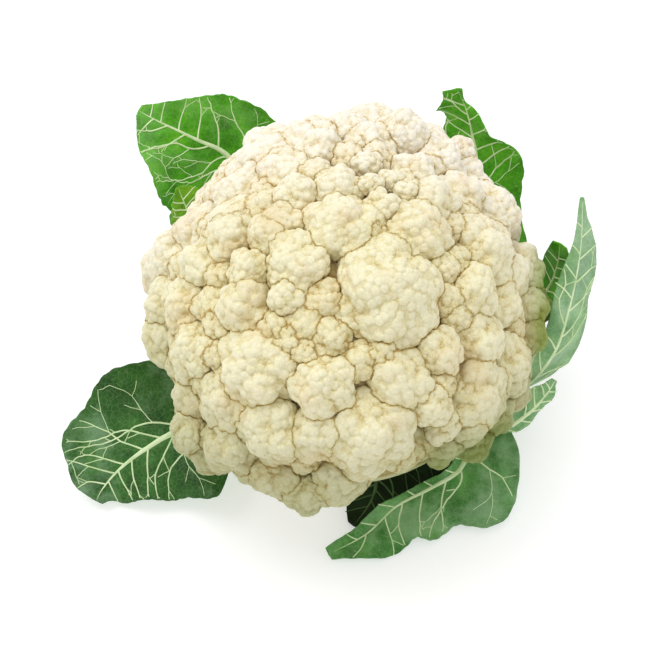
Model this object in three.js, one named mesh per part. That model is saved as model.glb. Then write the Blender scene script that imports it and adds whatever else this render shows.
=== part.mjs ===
// A cauliflower as picked: one head of curd on its short cut stalk, with the leaves left round it.
// Millimetres, +Z up. The origin is the middle of the stalk's cut face, on which the head stands.
// +X is to the right and -Y to the front. Turns are degrees round +Z from +X.
import * as THREE from "three";
import { mergeVertices } from "three/addons/utils/BufferGeometryUtils.js";

// The dome that the curd fills. Everything on the curd is placed on it.
const dome = {
  halfWidth: 91,
  halfDepth: 104,
  crownRise: 84, // from the widest level up to the crown
  undersideDrop: 50, // from the widest level down to where the branches meet
  widestLevel: 70,
};
const seatLevel = 26; // the curd's flat seat on the stalk
const coreInset = 13; // the core that the florets stand out of lies this far inside the dome
const fit = 0.3; // clear gap between the curd and the stalk
const footFit = 0.5; // clear gap between a leaf's foot and the stalk

// Florets, one row each: turn and fall from the crown in degrees, radius, and how far it stands
// proud of the dome. The crown's are small, the outer ones large, and those with a minus are sunk.
const florets = [
  // on the crown
  [120, 5, 9.5, 1],
  [258, 8, 14.5, 2],
  [350, 11, 7.5, 0],
  [306, 13, 5, -3],
  [29, 8, 5, 0],
  [27, 15, 5, -1],
  [11, 18, 5, 0],
  [65, 15, 6, -1],
  [170, 15, 9, 2],
  [197, 20, 8.5, 1],
  [200, 25, 9, 2],
  [231, 24, 13, 3],
  [339, 23, 14, 3],
  [8, 27, 10.5, 2],
  [35, 27, 9, 0],
  [109, 24, 10, 1],
  [73, 30, 10, 0],
  [143, 26, 11, 0],
  // the upper ring
  [296, 29, 23.5, 6],
  [331, 35, 6, -2],
  [248, 37, 11, -4],
  [237, 33, 7, 1],
  [210, 35, 9, 2],
  [187, 38, 10.5, 1],
  [219, 43, 11.5, 2],
  [178, 37, 10.5, 0],
  [158, 38, 13, 1],
  [138, 39, 14, 1],
  [116, 39, 11, 0],
  [89, 38, 9.5, 0],
  [60, 38, 13.5, 3],
  [20, 42, 12, 0],
  [42, 44, 12.5, 2],
  [355, 48, 15, 3],
  [334, 47, 11, 3],
  [322, 47, 6.5, -4],
  [276, 46, 7.5, -4],
  // the shoulder
  [308, 52, 9.5, 1],
  [290, 54, 12, 1],
  [261, 53, 13, 3],
  [235, 56, 18, 3],
  [189, 50, 12, 1],
  [170, 57, 13, 0],
  [145, 58, 14, 0],
  [124, 54, 14, 1],
  [102, 54, 13, 0],
  [78, 50, 17, 4],
  [55, 60, 15, 3],
  [36, 60, 14, 1],
  [19, 60, 14.5, 2],
  [356, 64, 11, 0],
  [343, 62, 10, -2],
  [325, 59, 10.5, 1],
  [196, 64, 12.5, 1],
  [211, 68, 12.5, 2],
  [172, 70, 14, 1],
  [229, 72, 13.5, 2],
  [246, 73, 15, 3],
  [277, 70, 18, 4],
  [261, 69, 12, 2],
  [298, 65, 8, 1],
  [301, 74, 7, 0],
  [315, 74, 16.5, 4],
  [331, 77, 14.5, 4],
  [310, 80, 9.5, 2],
  // the rim, which curls under
  [5, 76, 14, 4],
  [354, 80, 10.5, 3],
  [347, 84, 9, 2],
  [2, 91, 12, 6],
  [322, 90, 10, 2],
  [338, 91, 12, -1],
  [294, 80, 9, -5],
  [306, 91, 11, -4],
  [269, 87, 12, 3],
  [258, 102, 12.5, 5],
  [248, 96, 12.5, 3],
  [233, 88, 14, 2],
  [240, 103, 12, 1],
  [214, 86, 12.5, 2],
  [220, 98, 12, 3],
  [228, 106, 10, 1],
  [198, 84, 12.5, 5],
  [186, 78, 13.5, 6],
  [204, 99, 13, 0],
  [186, 94, 13, -1],
  [168, 86, 15, 0],
  [150, 79, 16, 0],
  [128, 76, 16, 0],
  [106, 74, 16, 0],
  [84, 72, 16, 1],
  [65, 76, 15, 0],
  [45, 78, 15, 0],
  [25, 80, 15, 0],
  [139, 96, 15, 0],
  [117, 94, 16, 0],
  [95, 93, 16, 0],
  [73, 95, 15, 0],
  [53, 96, 14, -1],
  [34, 97, 14, -1],
  [15, 96, 13, -2],
  [160, 104, 13, -2],
  [287, 98, 11, -5],
  [271, 103, 11, -1],
  [322, 104, 11, -6],
];

// Buds stand on each large floret in a golden-angle spiral, small at its middle, large at its rim.
const bud = {
  count: 16,
  reach: 112, // degrees from the floret's middle to its last bud
  crowding: 0.56,
  smallest: 0.27, // of the floret's radius
  largest: 0.37,
  seat: 0.76, // where a bud's centre lies, of the floret's radius
  finest: 3.8, // mm: a smaller bud than this is left to the floret's own round
};
const curdFineness = 22;
const goldenTurn = Math.PI * (3 - Math.sqrt(5));

const stalk = {
  sides: 24,
  profile: [
    [0, 0],
    [22.5, 0],
    [24.5, 1.6],
    [25.2, 8],
    [27, 16],
    [31, 22],
    [34, seatLevel - fit],
    [0, seatLevel - fit],
  ],
  flutes: 5, // the stalk swells a little under each old leaf
  fluteDepth: 0.035,
};

// Leaves. A row is a point on the midrib and the blade's reach to its left and right there, seen
// from the stalk with the inner face up: [x, y, z, left, right]. faces are the ways that the inner
// face looks at the foot, the middle and the tip. cup bends each half of the blade to the inner
// side, as a share of its reach, and waves run along its margins.
const leaves = {
  leaf_back_left: {
    rows: [
      [-17, 24, 14, 7, 7],
      [-32, 57, 19, 8, 8],
      [-47, 90, 40, 17, 13],
      [-58, 104, 64, 35, 27],
      [-76, 103, 80, 31, 22],
      [-93, 103, 92, 15, 12],
      [-102, 104, 98, 3, 3],
    ],
    faces: [[-0.1, 0.2, 1], [0.35, -0.75, 0.55], [0.42, -0.71, 0.57]],
    cup: [0.12, 0.08],
    waves: 4,
    waveHeight: 1.8,
    stations: 18,
  },
  leaf_back_left_small: {
    rows: [
      [-26, 15, 17, 4, 4],
      [-48, 42, 21, 4, 4],
      [-68, 60, 36, 6, 6],
      [-76, 65, 54, 8, 8],
      [-81, 69, 67, 8, 10],
      [-84, 73, 78, 1.5, 2],
    ],
    faces: [[-0.3, 0.3, 1], [0.5, -0.75, 0.4], [0.45, -0.7, 0.55]],
    cup: [0.05, 0.05],
    waves: 4,
    waveHeight: 0.8,
    stations: 13,
  },
  leaf_front_left: {
    rows: [
      [-28, -7, 13, 7, 7],
      [-51, -21, 18, 10, 11],
      [-76, -35, 24, 33, 33],
      [-94, -45, 21, 27, 34],
      [-107, -53, 15, 20, 29],
      [-114, -60, 9, 11, 18],
      [-117, -65, 6, 3, 4],
    ],
    faces: [[0, 0, 1], [0.1, -0.46, 0.88], [0.2, -0.4, 0.88]],
    cup: [0.02, 0.1],
    waves: 3,
    waveHeight: 2.4,
    stations: 18,
  },
  leaf_front: {
    rows: [
      [19, -21, 13, 7, 6],
      [44, -34, 17, 10, 7],
      [64, -43, 17, 19, 8],
      [56, -54, 15, 27, 8],
      [40, -62, 12, 25, 8],
      [24, -70, 9, 20, 8],
      [10, -83, 6, 13, 7],
      [-8, -93, 4, 3, 3],
    ],
    faces: [[0, 0, 1], [0.16, -0.34, 0.93], [0.05, -0.1, 0.98]],
    cup: [0.02, 0.35],
    waves: 3,
    waveHeight: 1.8,
    stations: 20,
  },
  leaf_front_under: {
    rows: [
      [3, -28, 9, 6, 6],
      [10, -41, 8, 18, 14],
      [15, -53, 6, 27, 20],
      [12, -65, 4.2, 19, 15],
      [4, -77, 3.2, 4, 3],
    ],
    faces: [[0, 0, 1], [0, 0, 1], [0, 0, 1]],
    cup: [0.05, 0.05],
    waves: 2,
    waveHeight: 0.8,
    stations: 13,
  },
  leaf_right: {
    rows: [
      [28, 2, 13, 7, 7],
      [54, -5, 18, 9, 9],
      [81, -18, 30, 16, 8],
      [97, -15, 53, 18, 7],
      [104, -3, 77, 15, 6],
      [108, 14, 97, 10, 5],
      [107, 34, 113, 1.5, 1.5],
    ],
    faces: [[0, 0, 1], [-0.45, 0.78, -0.1], [-0.41, 0.78, -0.39]],
    cup: [0.1, 0.5],
    waves: 3,
    waveHeight: 1.2,
    stations: 18,
  },
  leaf_right_low: {
    rows: [
      [26, -12, 20, 4, 4],
      [50, -26, 24, 4, 4],
      [73, -38, 28, 6, 5],
      [86, -35, 35, 7, 6],
      [95, -28, 42, 6, 5],
      [99, -23, 46, 2, 2],
    ],
    faces: [[0, 0, 1], [-0.5, 0.75, 0.3], [-0.5, 0.8, 0]],
    cup: [0.1, 0.3],
    waves: 3,
    waveHeight: 0.8,
    stations: 13,
  },
  leaf_right_small: {
    rows: [
      [25, 16, 17, 4, 4],
      [56, 20, 21, 4, 4],
      [86, 24, 33, 6, 6],
      [99, 27, 52, 8, 9],
      [102, 28, 68, 9, 9],
      [102, 30, 79, 2, 2],
    ],
    faces: [[0, 0, 1], [-0.7, -0.45, 0.5], [-0.65, -0.6, 0.4]],
    cup: [0.05, 0.05],
    waves: 2,
    waveHeight: 0.6,
    stations: 13,
  },
  leaf_back_right: {
    rows: [
      [11, 28, 14, 7, 7],
      [32, 61, 20, 9, 12],
      [56, 92, 43, 14, 38],
      [67, 98, 66, 14, 27],
      [64, 103, 85, 13, 15],
      [60, 104, 100, 11, 5],
      [52, 105, 110, 2.5, 2.5],
    ],
    faces: [[0.2, 0.2, 1], [-0.52, -0.76, 0.38], [-0.4, -0.85, 0.3]],
    cup: [0.05, 0.05],
    waves: 3.4,
    waveHeight: 2.2,
    stations: 18,
  },
};
const blade = {
  thickness: 1,
  ribFoot: 6.5, // half width of the midrib at the foot
  ribTip: 0.9,
  keelFoot: 6, // how deep the midrib stands out of the leaf's back at the foot
  keelTip: 0.5,
};

const colours = { curd: 0xeee3c6, stalk: 0xd3d9a4, leaf: 0x3f8a2f, leafDark: 0x2c5f35 };

const radians = THREE.MathUtils.degToRad;
const centre = new THREE.Vector3(0, 0, dome.widestLevel);

// A repeatable number from 0 to 1 for floret i and bud k.
function scatter(i, k) {
  const s = Math.sin(i * 12.9898 + k * 78.233) * 43758.5453;
  return s - Math.floor(s);
}

function semiAxes(isUpper, inset = 0) {
  const rise = isUpper ? dome.crownRise - inset : dome.undersideDrop;
  return new THREE.Vector3(dome.halfWidth - inset, dome.halfDepth - inset, rise);
}

// The point on the dome at a turn and a fall, and the way the dome faces there.
function onDome(turn, fall) {
  const [t, f] = [radians(turn), radians(fall)];
  const axes = semiAxes(fall <= 90);
  const unit = new THREE.Vector3(Math.sin(f) * Math.cos(t), Math.sin(f) * Math.sin(t), Math.cos(f));
  return {
    point: unit.clone().multiply(axes).add(centre),
    out: unit.clone().divide(axes).normalize(),
  };
}

// One floret as round balls: its own, and a bud for each step of the spiral.
function ballsOfFloret([turn, fall, radius, proud], i) {
  const { point, out } = onDome(turn, fall);
  const middle = point.clone().addScaledVector(out, proud - radius);
  const hasBuds = radius * bud.largest > bud.finest;
  const balls = [{ middle, radius: hasBuds ? radius * 0.9 : radius }];
  if (!hasBuds) return balls;
  const across = new THREE.Vector3(0, 0, 1).cross(out).normalize();
  if (across.lengthSq() < 0.5) across.set(1, 0, 0);
  const along = out.clone().cross(across);
  for (let k = 0; k < bud.count; k++) {
    const share = Math.pow((k + 0.5) / bud.count, bud.crowding);
    const size = bud.smallest + (bud.largest - bud.smallest) * share;
    const budRadius = radius * size * (0.88 + 0.24 * scatter(i, k));
    if (budRadius < bud.finest) continue;
    const lean = radians(bud.reach * share);
    const spin = k * goldenTurn + i;
    const way = out.clone().multiplyScalar(Math.cos(lean));
    way.addScaledVector(across, Math.sin(lean) * Math.cos(spin));
    way.addScaledVector(along, Math.sin(lean) * Math.sin(spin));
    const seat = radius * bud.seat * (0.95 + 0.1 * scatter(k, i));
    balls.push({ middle: middle.clone().addScaledVector(way, seat), radius: budRadius });
  }
  return balls;
}

// How far out along a direction the curd reaches from the dome's centre.
function curdReach(way, balls) {
  const core = way.clone().divide(semiAxes(way.z > 0, coreInset));
  let reach = 1 / core.length();
  for (const ball of balls) {
    const along = way.dot(ball.offset);
    const squared = along * along - ball.offset.lengthSq() + ball.radius * ball.radius;
    if (squared > 0) reach = Math.max(reach, along + Math.sqrt(squared));
  }
  const drop = dome.widestLevel - seatLevel;
  return way.z < 0 ? Math.min(reach, drop / -way.z) : reach;
}

function curdGeometry() {
  const balls = florets.flatMap(ballsOfFloret);
  for (const ball of balls) ball.offset = ball.middle.clone().sub(centre);
  const ico = new THREE.IcosahedronGeometry(1, curdFineness);
  ico.deleteAttribute("normal");
  ico.deleteAttribute("uv");
  const geometry = mergeVertices(ico, 1e-5);
  const position = geometry.attributes.position;
  const way = new THREE.Vector3();
  for (let i = 0; i < position.count; i++) {
    way.fromBufferAttribute(position, i).normalize();
    way.multiplyScalar(curdReach(way, balls)).add(centre);
    position.setXYZ(i, way.x, way.y, way.z);
  }
  geometry.computeVertexNormals();
  return geometry;
}

// How much wider than its profile the stalk is towards a point.
function stalkSwell(x, y) {
  return 1 + stalk.fluteDepth * Math.cos(stalk.flutes * Math.atan2(y, x));
}

function stalkGeometry() {
  const profile = stalk.profile.map(([x, y]) => new THREE.Vector2(x, y));
  const geometry = new THREE.LatheGeometry(profile, stalk.sides);
  geometry.rotateX(Math.PI / 2); // the lathe's axis is +Y
  const position = geometry.attributes.position;
  for (let i = 0; i < position.count; i++) {
    const [x, y] = [position.getX(i), position.getY(i)];
    const swell = stalkSwell(x, y);
    position.setXY(i, x * swell, y * swell);
  }
  return geometry;
}

// Moves a point straight out from the stalk's axis to just clear of its side.
function fitToStalk(point) {
  const side = stalk.profile.slice(1, -1);
  const above = Math.max(1, side.findIndex(([, level]) => level >= point.z));
  const [[r0, z0], [r1, z1]] = [side[above - 1], side[above]];
  const radius = THREE.MathUtils.mapLinear(point.z, z0, z1, r0, r1);
  const reach = radius * stalkSwell(point.x, point.y) + footFit;
  const now = Math.hypot(point.x, point.y);
  point.x *= reach / now;
  point.y *= reach / now;
}

// Smooth values between the rows, at a share u of the way from the first row to the last.
function alongRows(rows, u) {
  const place = Math.min(u, 0.99999) * (rows.length - 1);
  const i = Math.floor(place);
  const t = place - i;
  const [b, c] = [rows[i], rows[i + 1]];
  const a = rows[i - 1] ?? b.map((value, n) => 2 * value - c[n]);
  const d = rows[i + 2] ?? c.map((value, n) => 2 * value - b[n]);
  return b.map((value, n) => {
    const bend = 2 * a[n] - 5 * value + 4 * c[n] - d[n];
    const rest = -a[n] + 3 * value - 3 * c[n] + d[n];
    return value + 0.5 * t * (c[n] - a[n] + t * (bend + t * rest));
  });
}

// The midrib's point and the blade's axes at a share u of the leaf's length.
function leafFrame(leaf, u) {
  const step = 0.01;
  const [x, y, z, left, right] = alongRows(leaf.rows, u);
  const before = new THREE.Vector3(...alongRows(leaf.rows, Math.max(0, u - step)).slice(0, 3));
  const after = new THREE.Vector3(...alongRows(leaf.rows, Math.min(1, u + step)).slice(0, 3));
  const [foot, middle, tip] = leaf.faces.map((face) => new THREE.Vector3(...face).normalize());
  const face = u < 0.5 ? foot.lerp(middle, u * 2) : middle.lerp(tip, u * 2 - 1);
  const ahead = after.sub(before).normalize();
  const right1 = ahead.clone().cross(face).normalize();
  const inner = right1.clone().cross(ahead);
  return { point: new THREE.Vector3(x, y, z), side: right1, inner, left, right };
}

// A point of the blade's middle surface: u from foot to tip, v from -1 at the left margin to 1.
function bladePoint(leaf, u, v) {
  const { point, side, inner, left, right } = leafFrame(leaf, u);
  const isLeft = v < 0;
  const reach = isLeft ? left : right;
  const share = Math.abs(v);
  const swing = Math.sin(2 * Math.PI * leaf.waves * u + (isLeft ? 1.3 : 0));
  const freed = Math.min(1, Math.max(0, (u - 0.2) * 4)) * Math.min(1, (1 - u) * 6);
  const wave = leaf.waveHeight * share * share * freed * swing;
  const curl = leaf.cup[isLeft ? 0 : 1] * reach * share * share;
  return point.addScaledVector(side, v * reach).addScaledVector(inner, curl + wave);
}

// Where the columns of the mesh lie on each half: close together on the midrib.
function columnsOf(leaf, u) {
  const { left, right } = leafFrame(leaf, u);
  const rib = THREE.MathUtils.lerp(blade.ribFoot, blade.ribTip, Math.min(1, u * 1.25));
  const half = (reach) => {
    const edge = Math.min(0.8, rib / reach);
    return [edge * 0.7, edge, edge + (1 - edge) * 0.5, 1];
  };
  return { rib, shares: [...half(left).reverse().map((d) => -d), 0, ...half(right)] };
}

function leafGeometry(leaf) {
  const slim = leaf.stations < 15 ? 0.55 : 1; // a small leaf has a slimmer midrib
  const rows = leaf.stations;
  const top = [];
  const back = [];
  for (let i = 0; i < rows; i++) {
    const u = i / (rows - 1);
    const { rib, shares } = columnsOf(leaf, u);
    const keel = THREE.MathUtils.lerp(blade.keelFoot, blade.keelTip, Math.min(1, u * 1.3)) * slim;
    const { left, right } = leafFrame(leaf, u);
    for (const v of shares) {
      const here = bladePoint(leaf, u, v);
      const nudge = 0.02;
      const du = bladePoint(leaf, Math.min(1, u + nudge), v);
      du.sub(bladePoint(leaf, Math.max(0, u - nudge), v));
      const dv = bladePoint(leaf, u, Math.min(1, v + nudge));
      dv.sub(bladePoint(leaf, u, Math.max(-1, v - nudge)));
      const out = dv.cross(du).normalize(); // to the inner face
      const offset = Math.abs(v) * (v < 0 ? left : right);
      const depth = keel * Math.sqrt(Math.max(0, 1 - (offset / rib) ** 2));
      const upper = here.clone().addScaledVector(out, blade.thickness / 2);
      const lower = here.addScaledVector(out, -blade.thickness / 2 - depth);
      if (i === 0) [upper, lower].forEach(fitToStalk);
      top.push(upper);
      back.push(lower);
    }
  }
  const columns = top.length / rows;
  const backFrom = top.length;
  const index = [];
  const quad = (a, b, c, d) => index.push(a, b, c, a, c, d);
  for (let i = 0; i < rows - 1; i++) {
    for (let j = 0; j < columns - 1; j++) {
      const a = i * columns + j;
      const [b, c, d] = [a + 1, a + columns + 1, a + columns];
      quad(a, b, c, d);
      index.push(backFrom + a, backFrom + c, backFrom + b);
      index.push(backFrom + a, backFrom + d, backFrom + c);
    }
    const [first, last] = [i * columns, (i + 1) * columns - 1];
    quad(first + columns, backFrom + first + columns, backFrom + first, first);
    quad(last, backFrom + last, backFrom + last + columns, last + columns);
  }
  for (let j = 0; j < columns - 1; j++) {
    const end = (rows - 1) * columns + j;
    quad(j, backFrom + j, backFrom + j + 1, j + 1);
    quad(end + 1, backFrom + end + 1, backFrom + end, end);
  }
  const geometry = new THREE.BufferGeometry().setFromPoints([...top, ...back]);
  geometry.setIndex(index);
  geometry.computeVertexNormals();
  return geometry;
}

function piece(name, geometry, color, roughness) {
  const material = new THREE.MeshStandardMaterial({ color, roughness, metalness: 0 });
  const mesh = new THREE.Mesh(geometry, material);
  mesh.name = name;
  return mesh;
}

const cauliflower = new THREE.Group();
cauliflower.add(piece("curd", curdGeometry(), colours.curd, 0.6));
cauliflower.add(piece("stalk", stalkGeometry(), colours.stalk, 0.55));
for (const [name, leaf] of Object.entries(leaves)) {
  const isLow = name.startsWith("leaf_front");
  const color = isLow ? colours.leafDark : colours.leaf;
  cauliflower.add(piece(name, leafGeometry(leaf), color, 0.5));
}

export default cauliflower;
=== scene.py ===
import math
import random

import bpy
import numpy as np
from mathutils import Matrix, Vector, noise
from mathutils.kdtree import KDTree


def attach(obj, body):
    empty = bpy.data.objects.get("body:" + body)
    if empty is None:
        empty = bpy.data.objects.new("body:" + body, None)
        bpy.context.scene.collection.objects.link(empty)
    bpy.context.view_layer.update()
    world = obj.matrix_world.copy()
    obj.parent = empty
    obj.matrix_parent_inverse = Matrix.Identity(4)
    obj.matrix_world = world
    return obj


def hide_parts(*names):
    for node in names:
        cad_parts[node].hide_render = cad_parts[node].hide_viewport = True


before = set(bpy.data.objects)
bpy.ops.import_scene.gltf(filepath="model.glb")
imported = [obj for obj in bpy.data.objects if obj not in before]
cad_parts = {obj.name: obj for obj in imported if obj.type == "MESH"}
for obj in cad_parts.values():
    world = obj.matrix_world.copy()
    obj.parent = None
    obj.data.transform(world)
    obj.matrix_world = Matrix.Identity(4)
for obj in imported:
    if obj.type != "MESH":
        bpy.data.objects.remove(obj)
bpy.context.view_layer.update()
bpy.ops.object.select_all(action="DESELECT")

mm = 0.001
goldenTurn = math.pi * (3 - math.sqrt(5))
cameraLook = {
    "target": (-7, -7.4, 64.2),
    "distance": 729,
    "elevation": 52,
    "lens": 85,
}

# Places and sizes below are in millimetres, as in the part: the origin is the middle of the stalk's
# cut face, +Z is up, +X right and -Y the front. Turns are degrees round +Z from +X.


def linear(hexColour):
    # sRGB hex to the linear colour that shaders take
    parts = [int(hexColour[i : i + 2], 16) / 255 for i in (1, 3, 5)]
    return [c / 12.92 if c <= 0.04045 else ((c + 0.055) / 1.055) ** 2.4 for c in parts] + [1]


def addNode(material, kind, settings=None, links=None):
    # a node with its own settings, its sockets' values and the sockets that feed it
    node = material.node_tree.nodes.new(kind)
    for name, value in (settings or {}).items():
        if isinstance(name, str) and hasattr(node, name):
            setattr(node, name, value)
        else:
            node.inputs[name].default_value = value
    for name, source in (links or {}).items():
        material.node_tree.links.new(source, node.inputs[name])
    return node


def newMaterial(name):
    material = bpy.data.materials.new(name)
    material.use_nodes = True
    material.node_tree.nodes.remove(material.node_tree.nodes["Principled BSDF"])
    return material


def finishMaterial(material, settings, links):
    shader = addNode(material, "ShaderNodeBsdfPrincipled", settings, links)
    output = material.node_tree.nodes["Material Output"]
    material.node_tree.links.new(shader.outputs["BSDF"], output.inputs["Surface"])
    return material


def colourRamp(material, factor, stops):
    ramp = addNode(material, "ShaderNodeValToRGB", {}, {"Fac": factor})
    elements = ramp.color_ramp.elements
    while len(elements) < len(stops):
        elements.new(0.5)
    for element, (place, hexColour) in zip(elements, stops):
        element.position = place
        element.color = linear(hexColour)
    return ramp.outputs["Color"]


def mixColours(material, factor, first, second, blend="MIX"):
    mix = addNode(material, "ShaderNodeMix", {"data_type": "RGBA", "blend_type": blend})
    for socket, value in ((0, factor), (6, first), (7, second)):
        if isinstance(value, bpy.types.NodeSocket):
            material.node_tree.links.new(value, mix.inputs[socket])
        elif isinstance(value, str):
            mix.inputs[socket].default_value = linear(value)
        else:
            mix.inputs[socket].default_value = value
    return mix.outputs[2]


def remap(material, value, low, high, newLow=0.0, newHigh=1.0):
    settings = {"From Min": low, "From Max": high, "To Min": newLow, "To Max": newHigh}
    settings["interpolation_type"] = "SMOOTHSTEP"
    node = addNode(material, "ShaderNodeMapRange", settings, {"Value": value})
    return node.outputs["Result"]


def noiseOf(material, where, size, **settings):
    # cloudy noise, its lumps about this many millimetres across
    settings = {"Scale": 1 / (size * mm), **settings}
    return addNode(material, "ShaderNodeTexNoise", settings, {"Vector": where}).outputs["Fac"]


def cellsOf(material, where, size, feature="DISTANCE_TO_EDGE"):
    # cells about this many millimetres across
    settings = {"feature": feature, "Scale": 1 / (size * mm)}
    return addNode(material, "ShaderNodeTexVoronoi", settings, {"Vector": where}).outputs["Distance"]


def bumpOf(material, height, strength, depth):
    settings = {"Strength": strength, "Distance": depth * mm}
    return addNode(material, "ShaderNodeBump", settings, {"Height": height}).outputs["Normal"]


def attributeOf(material, name):
    return addNode(material, "ShaderNodeAttribute", {"attribute_name": name}).outputs["Fac"]


# Fresh curd: undeveloped flower buds, matt and finely grained, and a little translucent.
# Cream on the buds' tops, with painted shade darkening to ochre down in the clefts and creases, painted shade
# to the front and low down, and painted shade with painted green light bounced off the leaves beside them.
def makeCurdMaterial():
    look = {
        # painted shade: cream where there is none, ochre in the deepest clefts
        "creaseShades": [(0.0, "#eee9df"), (0.35, "#e7dfca"), (0.65, "#dccfab"), (1.0, "#b5955b")],
        "front": "#f7f7e0",  # the side away from the light
        # painted shade low down, and painted shade with painted green light bounced off the leaves beside
        # them
        "low": "#bfc6b0",
        "leafShade": "#a2b970",
        "blush": "#f6e4d2",  # here and there the buds are a little pink
        "budSize": 2.3,  # mm across the cells that thin creases part
        "grainSize": 0.95,
        "blotchSize": 24,
    }
    material = newMaterial("freshCurd")
    where = addNode(material, "ShaderNodeTexCoord").outputs["Object"]
    edge = cellsOf(material, where, look["budSize"])
    grain = cellsOf(material, where, look["grainSize"], "F1")
    blotch = noiseOf(material, where, look["blotchSize"], Detail=3.0)
    # painted shade in the thin creases between buds and in the pits of the grain, added to the painted shade
    # of the clefts
    crease = remap(material, edge, 0.0, 0.12, 0.26, 0.0)
    pit = remap(material, grain, 0.45, 0.85, 0.0, 0.13)
    total = attributeOf(material, "creaseShade")
    adding = {"operation": "ADD", "use_clamp": True}
    for part in (crease, pit):
        total = addNode(material, "ShaderNodeMath", adding, {0: total, 1: part}).outputs[0]
    colour = colourRamp(material, total, look["creaseShades"])
    # painted shade: the colour is multiplied down to the front, low down and beside the leaves
    for name in ("front", "low", "leafShade"):
        colour = mixColours(material, attributeOf(material, name), colour, look[name], "MULTIPLY")
    pinkness = remap(material, blotch, 0.5, 0.72, 0, 0.5)
    colour = mixColours(material, pinkness, colour, look["blush"], "MULTIPLY")
    domed = remap(material, edge, 0.0, 0.32, 0.0, 1.0)
    height = addNode(material, "ShaderNodeMath", {"operation": "MULTIPLY_ADD", 1: -0.3}, {0: grain, 2: domed})
    bump = bumpOf(material, height.outputs[0], 0.45, 0.32)
    settings = {
        "Roughness": 0.6,
        "IOR": 1.4,
        "Specular IOR Level": 0.3,
        "Subsurface Weight": 0.22,
        "Subsurface Radius": (1.0, 0.85, 0.55),
        "Subsurface Scale": 1.8 * mm,
    }
    return finishMaterial(material, settings, {"Base Color": colour, "Normal": bump})


# Cut stalk: firm pale green flesh with fine fibres, and branches of the same flesh.
def makeStalkMaterial(name, hexPale, hexGreen):
    material = newMaterial(name)
    where = addNode(material, "ShaderNodeTexCoord").outputs["Object"]
    cloud = noiseOf(material, where, 9, Detail=4.0)
    fibre = noiseOf(material, where, 1.2)
    colour = colourRamp(material, cloud, [(0.35, hexGreen), (0.65, hexPale)])
    colour = mixColours(material, remap(material, fibre, 0.45, 0.7, 0, 0.25), colour, "#b9b27a")
    bump = bumpOf(material, fibre, 0.35, 0.4)
    settings = {
        "Roughness": 0.45,
        "IOR": 1.4,
        "Subsurface Weight": 0.15,
        "Subsurface Scale": 2 * mm,
    }
    return finishMaterial(material, settings, {"Base Color": colour, "Normal": bump})


# Midribs and veins: smooth, juicy and almost white.
def makeVeinMaterial(name, hexPale, hexGreen):
    material = newMaterial(name)
    where = addNode(material, "ShaderNodeTexCoord").outputs["Object"]
    cloud = noiseOf(material, where, 7, Detail=3.0)
    colour = colourRamp(material, cloud, [(0.3, hexGreen), (0.6, hexPale)])
    settings = {"Roughness": 0.42, "IOR": 1.4, "Subsurface Weight": 0.1, "Subsurface Scale": mm}
    return finishMaterial(material, settings, {"Base Color": colour})


# Leaf blade: waxy tissue puffed up between its veins, with painted shade making it deeper green in the bays
# between them, with a pale net of small veins and a faint grey waxy bloom with painted sheen.
def makeBladeMaterial(name, colours, bloomAndSheen):
    look = {
        "netSize": 2.4,  # mm across the net's meshes
        "mottleSize": 13,
        "bloomAndSheenSize": 30,
    }
    dark, mid, light, veinTint, bloomAndSheenTint = colours
    material = newMaterial(name)
    where = addNode(material, "ShaderNodeTexCoord").outputs["Object"]
    gap = attributeOf(material, "veinGap")
    bay = attributeOf(material, "bay")
    net = cellsOf(material, where, look["netSize"])
    mottle, cloud = [
        noiseOf(material, where, look[size], Detail=5.0, Roughness=0.62)
        for size in ("mottleSize", "bloomAndSheenSize")
    ]
    colour = colourRamp(material, mottle, [(0.3, dark), (0.5, mid), (0.72, light)])
    # painted shade: deeper green in the bays between the main veins
    colour = mixColours(material, remap(material, bay, 0.1, 0.7, 0, 0.4), colour, dark)
    # the leaf's waxy bloom, with painted sheen: pale grey-green clouds
    colour = mixColours(material, remap(material, cloud, 0.46, 0.66, 0, bloomAndSheen), colour, bloomAndSheenTint)
    colour = mixColours(material, remap(material, net, 0.0, 0.06, 0.15, 0), colour, veinTint)
    colour = mixColours(material, remap(material, gap, 0.0, 0.06, 0.3, 0), colour, veinTint)
    height = addNode(material, "ShaderNodeMath", {"operation": "MINIMUM", 1: 0.25}, {0: net})
    bump = bumpOf(material, height.outputs[0], 0.45, 0.5)
    settings = {
        "Roughness": 0.46,
        "IOR": 1.42,
        "Specular IOR Level": 0.3,
        "Subsurface Weight": 0.08,
        "Subsurface Radius": (0.5, 1.0, 0.2),
        "Subsurface Scale": mm,
    }
    return finishMaterial(material, settings, {"Base Color": colour, "Normal": bump})


def activate(piece):
    bpy.ops.object.select_all(action="DESELECT")
    piece.select_set(True)
    bpy.context.view_layer.objects.active = piece


def getPlaces(piece):
    flat = np.empty(len(piece.data.vertices) * 3, np.float32)
    piece.data.vertices.foreach_get("co", flat)
    return flat.reshape(-1, 3).astype(float) / mm


def setPlaces(piece, places):
    piece.data.vertices.foreach_set("co", (np.asarray(places) * mm).astype(np.float32).ravel())
    piece.data.update()


def setPointValues(piece, name, values):
    layer = piece.data.attributes.get(name) or piece.data.attributes.new(name, "FLOAT", "POINT")
    layer.data.foreach_set("value", np.asarray(values, np.float32))


def getPointValues(piece, name):
    values = np.empty(len(piece.data.vertices), np.float32)
    piece.data.attributes[name].data.foreach_get("value", values)
    return values


def joinPieces(name, pieces):
    activate(pieces[0])
    for piece in pieces:
        piece.select_set(True)
    bpy.ops.object.join()
    joined = bpy.context.object
    joined.name = name
    joined.data.name = name
    return joined


def dress(piece, nodes, slot, materials):
    # the finish and what the piece stands for
    for material in materials:
        piece.data.materials.append(material)
    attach(piece, "root")
    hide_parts(*nodes)
    return piece


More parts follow.
